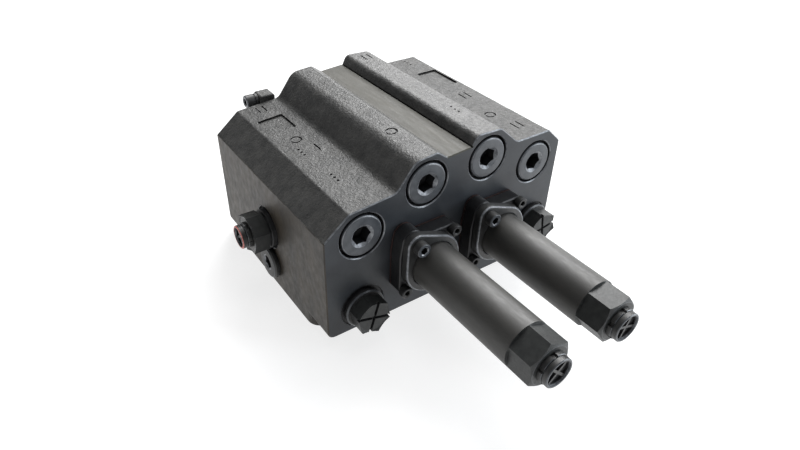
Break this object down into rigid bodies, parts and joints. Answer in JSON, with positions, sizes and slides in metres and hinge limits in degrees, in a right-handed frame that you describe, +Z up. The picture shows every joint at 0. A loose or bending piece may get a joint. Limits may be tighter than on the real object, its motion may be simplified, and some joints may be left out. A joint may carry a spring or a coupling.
{
  "type": "hydraulic monoblock valve",
  "caption": "Cast two-spool hydraulic monoblock valve with spring tubes on flanged ends, hollow-hex port plugs, load-check plugs and a side relief cartridge.",
  "frame": {"origin": "middle of the underside, on the face of the central pad, level with the two foot rails", "axes": "+Z up, +Y from the spring-tube side to the port side along the spools, +X to the right seen from the spring tubes"},
  "size_m": [0.1838, 0.2741, 0.107],
  "materials": {
    "cast_black": "satin black paint over sand-cast and machined iron",
    "satin_black": "satin black coated steel",
    "steel": "ground steel",
    "spring_steel": "dark spring wire",
    "gasket": "dull dark red fibre"
  },
  "bodies": {
    "valve": {"valve_body": "cast_black", "service_block": "cast_black", "service_screw_1": "satin_black", "service_screw_2": "satin_black", "cross_plug": "satin_black", "front_plug_1": "satin_black", "front_plug_2": "satin_black", "front_plug_3": "satin_black", "front_plug_4": "satin_black", "hex_plug_left": "satin_black", "hex_plug_right": "satin_black", "check_spring_left": "spring_steel", "check_spring_right": "spring_steel", "side_plug": "satin_black", "gasket_1": "gasket", "gasket_2": "gasket", "spring_plate_1": "satin_black", "spring_plate_2": "satin_black", "plate_screw_1_1": "satin_black", "plate_screw_1_2": "satin_black", "plate_screw_2_1": "satin_black", "plate_screw_2_2": "satin_black", "end_flange_1": "satin_black", "end_flange_2": "satin_black", "flange_screw_1_1": "satin_black", "flange_screw_1_2": "satin_black", "flange_screw_2_1": "satin_black", "flange_screw_2_2": "satin_black", "spring_tube_1": "satin_black", "spring_tube_2": "satin_black", "lock_ring_1": "satin_black", "lock_ring_2": "satin_black", "outer_spring_cup_1": "steel", "outer_spring_cup_2": "steel", "centring_spring_1": "spring_steel", "centring_spring_2": "spring_steel", "rear_seal_plate_1": "satin_black", "rear_seal_plate_2": "satin_black", "rear_screw_1_1": "satin_black", "rear_screw_1_2": "satin_black", "rear_screw_2_1": "satin_black", "rear_screw_2_2": "satin_black", "relief_body": "satin_black", "relief_seat": "steel", "relief_spring": "spring_steel", "relief_lock_ring": "satin_black"},
    "spool_assembly_1": {"spool_1": "steel", "spool_end_bolt_1": "steel", "inner_spring_cup_1": "steel"},
    "spool_assembly_2": {"spool_2": "steel", "spool_end_bolt_2": "steel", "inner_spring_cup_2": "steel"},
    "adjuster_1": {"stroke_adjuster_1": "satin_black"},
    "adjuster_2": {"stroke_adjuster_2": "satin_black"},
    "relief_adjuster_screw": {"relief_adjuster": "satin_black"},
    "relief_valve_poppet": {"relief_poppet": "steel"},
    "load_check_left": {"check_poppet_left": "steel"},
    "load_check_right": {"check_poppet_right": "steel"}
  },
  "joints": [
    {"name": "spool_1_slide", "type": "slide", "parent": "valve", "child": "spool_assembly_1", "axis": [0, 1, 0], "range_m": [-0.006, 0.006], "stiffness_N_per_m": 3000, "deforming": ["centring_spring_1"]},
    {"name": "spool_2_slide", "type": "slide", "parent": "valve", "child": "spool_assembly_2", "axis": [0, 1, 0], "range_m": [-0.006, 0.006], "stiffness_N_per_m": 3000, "deforming": ["centring_spring_2"]},
    {"name": "stroke_adjuster_1_turn", "type": "hinge", "parent": "valve", "child": "adjuster_1", "pos_m": [-0.0231, -0.175, 0.0453], "axis": [0, 1, 0], "range_deg": [-180, 180]},
    {"name": "stroke_adjuster_2_turn", "type": "hinge", "parent": "valve", "child": "adjuster_2", "pos_m": [0.0266, -0.1735, 0.0453], "axis": [0, 1, 0], "range_deg": [-180, 180]},
    {"name": "relief_adjuster_turn", "type": "hinge", "parent": "valve", "child": "relief_adjuster_screw", "pos_m": [-0.098, 0.0011, 0.0415], "axis": [1, 0, 0], "range_deg": [-180, 180]},
    {"name": "relief_poppet_lift", "type": "slide", "parent": "valve", "child": "relief_valve_poppet", "axis": [-1, 0, 0], "range_m": [0, 0.003], "stiffness_N_per_m": 100, "deforming": ["relief_spring"]},
    {"name": "load_check_left_lift", "type": "slide", "parent": "valve", "child": "load_check_left", "axis": [0, -1, 0], "range_m": [0, 0.004], "stiffness_N_per_m": 300, "deforming": ["check_spring_left"]},
    {"name": "load_check_right_lift", "type": "slide", "parent": "valve", "child": "load_check_right", "axis": [0, -1, 0], "range_m": [0, 0.004], "stiffness_N_per_m": 300, "deforming": ["check_spring_right"]}
  ]
}
